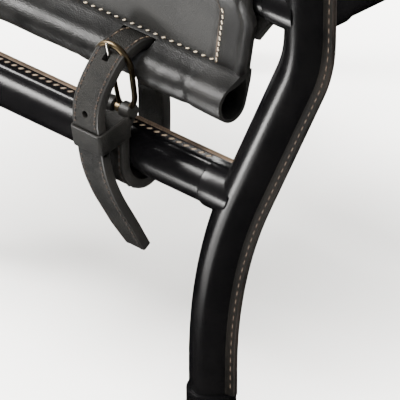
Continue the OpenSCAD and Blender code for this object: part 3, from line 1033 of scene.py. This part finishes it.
    def sleeve(self, side: Side) -> None:
        """Makes one sleeve: a hollow teardrop round the rod in three lengths between the belts, joined along
        the stitched fin. Outer points are pressed in by a few shallow creases, each a Gaussian trough.

        Args:
            side: The long side.
        """
        name = side.value[0]
        bag = arc((0, 0), 10.5, 105, 342, 30)
        fin = [[12.6, 4.5], [14.4, 11.0], [14.9, 15.8], [11.4, 16.0], [7.9, 15.8], [4.2, 13.6], [0.6, 11.6]]
        fold = [[9.4, 1.2], [10.2, 5.4], [10.4, 9.6], [9.8, 11.4], [8.6, 10.9], [5.6, 9.6], [1.8, 8.9]]
        outer = np.concatenate([bag, fin])
        inner = np.concatenate([arc((0, 0), 8.6, 105, 338, 30), fold])
        creases = ((146, 0.35, 1.6, 0.75), (139, -0.2, 1.4, 0.5), (124, 0.3, 2.0, 0.4), (60, 0.2, 3.0, 0.35))
        patches = []
        for start, stop in ((-SLEEVE_HALF, -107.5), (-82.5, 82.5), (107.5, SLEEVE_HALF)):
            x = np.linspace(start, stop, max(12, int((stop - start) / 2.0)))
            press = sum(depth * np.exp(-(((np.abs(x)[:, None] - at - lean * outer[:, 0]) / wide) ** 2))
                        for at, lean, wide, depth in creases)
            sway = 0.25 * np.sin(x / 17)[:, None] + 0.18 * np.sin(x / 7.3 + 1)[:, None]
            shrink = 1 - (press + sway * (outer[:, 1] < 12)) / 10.5 * (np.linalg.norm(outer, axis=1) < 12.5)
            skin = ROD_AT + outer[None] * shrink[..., None]
            lining = np.broadcast_to(ROD_AT + inner, (len(x), *inner.shape))
            grid = np.concatenate([side_points(x[:, None], skin), side_points(x[::-1, None], lining)])
            patch = grid_patch(grid, rows_close=True)
            row = np.arange(len(patch.faces)) // len(outer)
            patch.finish[(row == len(x) - 1) | (row == 2 * len(x) - 1)] = 1
            patches.append(patch.placed(side, End.RIGHT))
        strip = ROD_AT + np.array([[14.7, 13.4], [14.9, 15.8], [11.4, 16.0], [7.9, 15.8], [5.6, 14.5],
                                   [9.8, 12.9]])
        for middle in (-BELT_X, BELT_X):
            x = np.array([middle - 12.6, middle, middle + 12.6])
            grid = side_points(x[:, None], np.broadcast_to(strip, (3, *strip.shape)))
            patches.append(grid_patch(capped(grid), 1).placed(side, End.RIGHT))
        self.works.piece(f"{name}_sleeve_leather", patches, [SLEEVE, SMOOTH], "sling_leather",
                         [f"{name}_sleeve"])
        turn = np.radians(np.arange(0, 360, 10))
        radius, x = np.array([7.6, 8.4, 8.4, 7.6]), np.array([-158, -157, 157, 158.0])
        rim = np.stack([np.cos(turn), np.sin(turn)], -1)
        rod = side_points(x[:, None], ROD_AT + radius[:, None, None] * rim)
        self.works.piece(f"{name}_rod_leather", [grid_patch(capped(rod)).placed(side, End.RIGHT)], [ROD],
                         "rod_leather", [f"{name}_sling_rod"])

    def build(self) -> None:
        """Makes the sling's pieces on both sides."""
        for side in Side:
            self.sleeve(side)
            self.front_panel(side)
            self.inner_panel(side)


@dataclass
class Belts:
    """The four belts: strap, hanging tail, keeper, ring and prong."""

    works: Leatherwork
    half_w: float = 10.0
    thick: float = 6.0
    ring_low: np.ndarray = field(default_factory=lambda: np.array([-10.0, 27.5]))
    bulge: np.ndarray = field(default_factory=lambda: np.array([-34.2, 29.0]))
    keeper_tilt: float = math.radians(10)

    @property
    def tail_line(self) -> np.ndarray:
        """Direction of the front run through the keeper."""
        return np.array([math.sin(self.keeper_tilt), -math.cos(self.keeper_tilt)])

    def strap_route(self) -> np.ndarray:
        """The strap's route: from the ring down outside the stretcher, under it, up behind, over the rod,
        through the ring and out to the front run.

        Returns:
            (n, 2) points.
        """
        out, low = 15.7, self.ring_low
        points = [low + (-0.5, -3), low + (-3.4, -6.6), (-out + 0.2, 13.5), (-out, 4), (-out + 0.8, -7),
                  (-9.5, -out - 0.2), (0, -out - 4.2), (9.8, -out - 0.6), (out - 0.4, -7), (out + 0.6, 4),
                  (out + 0.6, 25), (out - 1.4, 41), *arc(ROD_AT, 12.4, 0, 90, 2), (-8, 64.4), (-14.6, 62.2),
                  (-21.4, 56.4), (-28.6, 47.4), (-33.2, 38), self.bulge]
        end = self.bulge + 15.6 * self.tail_line
        return np.concatenate([smooth(points, 6), [self.bulge + 8 * self.tail_line, end]])

    def edge_stitches(self, route: np.ndarray, half: np.ndarray, first: float, last: float) -> list[Patch]:
        """Two runs of stitches inside the strip's edges, on its outer face.

        Args:
            route: (n, 2) points.
            half: (n,) half widths.
            first: Length left free at the start.
            last: Length left free at the end.

        Returns:
            The stitches.
        """
        face = route - left_normals(route) * (self.thick / 2 + 0.05)
        found = []
        for edge in (-1, 1):
            line = side_points(BELT_X + edge * (half - 2.5), face)
            at, along = spaced(line, 4.6)
            gone = np.arange(len(at)) * 4.6
            keep = (gone > first) & (gone < len(at) * 4.6 - last)
            out = np.cross(along, np.zeros_like(along) + (1, 0, 0))
            found += stitches(at[keep], along[keep], out[keep], 3.0, 0.36)
        return found

    def strap(self, side: Side, end: End, name: str) -> None:
        """Makes a strap, folded round the ring's lower wire, with its prong slot and its spare hole.

        Args:
            side: The long side.
            end: The short end.
            name: The belt's name.
        """
        route = self.strap_route()
        half = np.full(len(route), self.half_w)
        turn = np.radians(np.arange(0, 360, 15))
        roll = np.stack([np.cos(turn), np.sin(turn)], -1)
        folds = []
        for start, stop in ((-10, -2.6), (2.6, 10)):
            x = BELT_X + np.array([start, start + 0.5, stop - 0.5, stop])
            radius = np.array([4.1, 4.65, 4.65, 4.1])
            fold = side_points(x[:, None], self.ring_low + radius[:, None, None] * roll)
            folds.append(grid_patch(capped(fold)).placed(side, end))
        lean = math.radians(12.9)
        way = np.array([-math.sin(lean), math.cos(lean)])
        square = np.array([math.cos(lean), math.sin(lean)])
        corners = self.ring_low + np.array([8 * way - 4.3 * square, 8 * way + 2.1 * square,
                                            45 * way + 2.1 * square, 45 * way - 4.3 * square])
        slot = side_points(BELT_X + np.array([[-2.1], [2.1]]), np.broadcast_to(corners, (2, 4, 2)))
        spot = np.array([self.bulge[0] - 8, self.bulge[0] + 8])
        high = self.bulge[1] + 4 + STRETCHER_Z
        hole = np.stack([np.broadcast_to(BELT_X + 2.1 * np.cos(turn), (2, 24)),
                         np.broadcast_to(spot[:, None] - LEG_Y, (2, 24)),
                         np.broadcast_to(high + 2.1 * np.sin(turn), (2, 24))], -1)
        cutters = [grid_patch(capped(g)).placed(side, end) for g in (slot, hole)]
        strip = ribbon(route, half, self.thick, 5, BELT_X).placed(side, end)
        self.works.piece(f"{name}_strap_leather", [strip], [STRAP, SMOOTH], "strap_leather",
                         [f"{name}_strap"], cutters=cutters)
        self.works.piece(f"{name}_strap_fold", folds, [SMOOTH], "strap_leather", [f"{name}_strap"])
        runs = self.edge_stitches(route, half, 6, 18)
        for run in runs:
            front = run.points[run.faces[:, 0], 1] < -LEG_Y - 6
            run.finish = np.where((run.finish == 0) & front, 2, run.finish)
        self.works.piece(f"{name}_strap_stitching", [p.placed(side, end) for p in runs],
                         [BROWN, HOLE, DARK], "strap_leather", [])

    def tail(self, side: Side, end: End, name: str, body: str) -> None:
        """Makes the hanging tail: a rounded top at the keeper, then a strip that narrows to a blunt point.

        Args:
            side: The long side.
            end: The short end.
            name: The belt's name.
            body: The CAD body.
        """
        pivot = self.bulge + 19 * self.tail_line
        route = smooth([pivot, (-28.9, 0), (-25.6, -10.5), (-19.6, -24), (-12.6, -36.5), (-4.6, -50.5),
                        (2.8, -62.6)], 6)
        full = self.half_w - 0.3
        drop = np.clip((-45.6 - route[:, 1]) / 54.4, 0, 1)
        half = full * (1 - drop * 2 / 3)
        turn = np.radians(np.arange(0, 360, 15))
        x = BELT_X + np.array([-full, -full + 0.6, full - 0.6, full])
        radius = np.array([2.4, 3.0, 3.0, 2.4])
        rim = np.stack([np.cos(turn), np.sin(turn)], -1)
        top = side_points(x[:, None], pivot + radius[:, None, None] * rim)
        patches = [ribbon(route, half, self.thick, 5, BELT_X), grid_patch(capped(top))]
        self.works.piece(f"{name}_tail_leather", [p.placed(side, end) for p in patches], [STRAP, SMOOTH],
                         "strap_leather", [f"{name}_tail"], body)
        runs = self.edge_stitches(route, half, 3, 4)
        self.works.piece(f"{name}_tail_stitching", [p.placed(side, end) for p in runs], [DARK, HOLE],
                         "strap_leather", [], body)

    def keeper(self, side: Side, end: End, name: str) -> None:
        """Makes the keeper: a band with rounded front corners round the front run and the tail's top.

        Args:
            side: The long side.
            end: The short end.
            name: The belt's name.
        """
        wide, front, back = 10.8, -4.1, 32.0 - 13.7
        flat = np.concatenate([[(-wide, back), (-wide, 8)], arc((-wide + 2, front + 2), 2, 180, 270, 5),
                               arc((wide - 2, front + 2), 2, 270, 360, 5), [(wide, 8), (wide, back)]])
        normal = left_normals(flat)
        rise = np.array([-6.5, -6.3, -5.9, 5.9, 6.3, 6.5, 6.5, 6.3, 5.9, -5.9, -6.3, -6.5])
        off = np.array([-0.3, -0.65, -0.8, -0.8, -0.65, -0.3, 0.3, 0.65, 0.8, 0.8, 0.65, 0.3])
        x = flat[:, None, 0] + normal[:, None, 0] * off
        y = flat[:, None, 1] + normal[:, None, 1] * off
        tilt = self.keeper_tilt
        middle = self.bulge + 11.8 * self.tail_line
        place = np.stack([y * math.cos(tilt) - rise * math.sin(tilt),
                          y * math.sin(tilt) + rise * math.cos(tilt)], -1)
        grid = side_points(x + BELT_X, place + middle)
        edge = np.zeros(12, int)
        edge[[0, 1, 3, 4, 5, 6, 7, 9, 10, 11]] = 1
        self.works.piece(f"{name}_keeper_leather", [grid_patch(capped(grid), edge).placed(side, end)],
                         [STRAP, SMOOTH], "strap_leather", [f"{name}_keeper"])

    def metal(self, side: Side, end: End, name: str, body: str) -> None:
        """Makes the ring, a wire swept round two half circles and two straights, and the prong, a tapering
        wire that starts in an eye round the ring's lower end.

        Args:
            side: The long side.
            end: The short end.
            name: The belt's name.
            body: The prong's CAD body.
        """
        tilt = math.radians(8)
        loop = np.concatenate([arc((0, 7.5), 12.85, 0, 180, 24), arc((0, -7.5), 12.85, 180, 360, 24)])
        tangent = unit(np.roll(loop, -1, axis=0) - np.roll(loop, 1, axis=0))
        outward = np.stack([tangent[:, 1], -tangent[:, 0]], -1)
        turn = np.arange(16) * math.pi / 8
        flat = loop[:, None] + outward[:, None] * 1.65 * np.cos(turn)[:, None]
        thick = np.broadcast_to(1.65 * np.sin(turn), flat.shape[:2])
        up = 20.35 + flat[..., 1]
        place = np.stack([-up * math.sin(tilt) + thick * math.cos(tilt),
                          up * math.cos(tilt) + thick * math.sin(tilt)], -1)
        ring = grid_patch(side_points(flat[..., 0] + BELT_X, place + self.ring_low), rows_close=True)
        self.works.piece(f"{name}_ring_brass", [ring.placed(side, end)], [BRASS], "aged_brass",
                         [f"{name}_ring"])
        lean = math.radians(12.9)
        reach = np.array([2.1, 12, 24, 34, 39, 42, 43.4, 43.7])
        girth = np.array([1.3, 1.3, 1.28, 1.22, 1.15, 1.05, 0.7, 0.15])
        centre = self.ring_low + np.stack([-reach * math.sin(lean), reach * math.cos(lean)], -1)
        square = np.array([math.cos(lean), math.sin(lean)])
        pin = side_points(BELT_X + girth[:, None] * np.cos(turn),
                          centre[:, None] + square * (girth[:, None] * np.sin(turn))[..., None])
        lap = np.radians(np.arange(0, 360, 15))
        rim = np.stack([np.cos(lap), np.sin(lap)], -1)
        side_x = np.array([-1.5, -1.5, 1.5, 1.5])
        radius = np.array([2.1, 3.3, 3.3, 2.1])
        eye = side_points(BELT_X + side_x[:, None], self.ring_low + radius[:, None, None] * rim)
        patches = [grid_patch(capped(pin)), grid_patch(eye, rows_close=True)]
        row = np.arange(len(patches[0].faces)) // len(turn)
        patches[0].finish[row < 4] = 1
        patches[1].finish[:] = 1
        self.works.piece(f"{name}_prong_metal", [p.placed(side, end) for p in patches], [PRONG, BRASS],
                         "aged_brass", [f"{name}_prong"], body)

    def build(self) -> None:
        """Makes the four belts."""
        for side in Side:
            for end in End:
                place = f"{side.value[0]}_{end.value[0]}"
                name = f"{place}_belt"
                self.strap(side, end, name)
                self.tail(side, end, name, f"{place}_tail")
                self.keeper(side, end, name)
                self.metal(side, end, name, f"{place}_prong")


@dataclass
class Studio:
    """Pale floor, soft lights and the camera."""

    works: Leatherwork

    def lamp(self, name: str, at: tuple, aim: tuple, size: tuple[float, float], power: float, tint: tuple,
             mirrored: bool = True) -> None:
        """Adds a soft rectangular light.

        Args:
            name: The light's name.
            at: Where it hangs, in metres.
            aim: The point that it faces.
            size: Its width and height.
            power: Its power in watts.
            tint: Its colour.
            mirrored: Whether glossy surfaces show it.
        """
        data = bpy.data.lights.new(name, "AREA")
        data.shape, data.size, data.size_y = "RECTANGLE", *size
        data.energy, data.color = power, tint
        light = bpy.data.objects.new(name, data)
        light.location = at
        light.visible_camera, light.visible_glossy = False, mirrored
        light.rotation_euler = (Vector(aim) - Vector(at)).to_track_quat("-Z", "Y").to_euler()
        bpy.context.scene.collection.objects.link(light)

    def build(self) -> None:
        """Makes the stage, the lights, the world and the camera."""
        square = FLOOR_HALF * np.array([[-1, -1, 0], [1, -1, 0], [1, 1, 0], [-1, 1, 0]], float)
        sheet = Patch(square, np.array([[0, 1, 2, 3]]), np.zeros(1, int))
        floor = self.works.mesh_object("floor", [sheet], [FLOOR])
        floor.visible_glossy = False
        middle = (0.1, -0.1, 0.2)
        self.lamp("dome", (0.0, 0.0, 3.6), (0, 0, 0), (5.0, 5.0), 1700, (1, 0.99, 0.97), False)
        self.lamp("key", (-2.2, -1.5, 1.9), middle, (0.75, 1.3), 250, (1, 0.985, 0.96))
        self.lamp("fill", (2.6, -1.0, 1.8), middle, (0.6, 0.8), 14, (0.97, 0.985, 1))
        self.lamp("low", (-0.01, -0.44, 0.015), (-0.01, -0.44, 1), (0.1, 0.14), 2.6, (1, 0.99, 0.97))
        self.lamp("sheen", (0.05, -0.34, 0.01), (0.05, -0.34, 1), (0.14, 0.1), 0.4, (1, 0.99, 0.97))
        self.lamp("back", (-1.5, 2.6, 1.6), middle, (1.6, 1.2), 40, (1, 1, 1))
        world = bpy.data.worlds.new("studio")
        world.use_nodes = True
        sky = world.node_tree.nodes["Background"]
        sky.inputs["Color"].default_value = (0.96, 0.955, 0.94, 1)
        sky.inputs["Strength"].default_value = 1.1
        world.cycles_visibility.glossy = False
        bpy.context.scene.world = world
        data = bpy.data.cameras.new("camera")
        data.lens, data.sensor_width = 414.0, 36.0
        camera = bpy.data.objects.new("camera", data)
        a, e = math.radians(44.1), math.radians(29.3)
        back = Vector((math.sin(a) * math.cos(e), -math.cos(a) * math.cos(e), math.sin(e)))
        camera.location = Vector((0.1458, -0.160, 0.144)) + back * 2.5
        camera.rotation_euler = (-back).to_track_quat("-Z", "Y").to_euler()
        data.clip_start, data.clip_end = 0.05, 60
        bpy.context.scene.collection.objects.link(camera)
        bpy.context.scene.camera = camera


def finish_cores(frame: dict, works: Leatherwork) -> None:
    """Gives the CAD nodes that stay, all of them steel tubes, their material.

    Args:
        frame: The loaded frame.
        works: The maker of materials.
    """
    for name, node in frame["nodes"].items():
        if name.endswith("_core"):
            node.data.materials.clear()
            node.data.materials.append(works.material(STEEL))


def main() -> None:
    """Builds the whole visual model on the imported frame."""
    logging.basicConfig(level=logging.INFO)
    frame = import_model()
    works = Leatherwork()
    finish_cores(frame, works)
    for part in (Hoops(works), CrossTubes(works), Feet(works), Sling(works), Belts(works), Studio(works)):
        part.build()
        LOG.info("%s built", type(part).__name__)


if __name__ == "__main__":
    main()
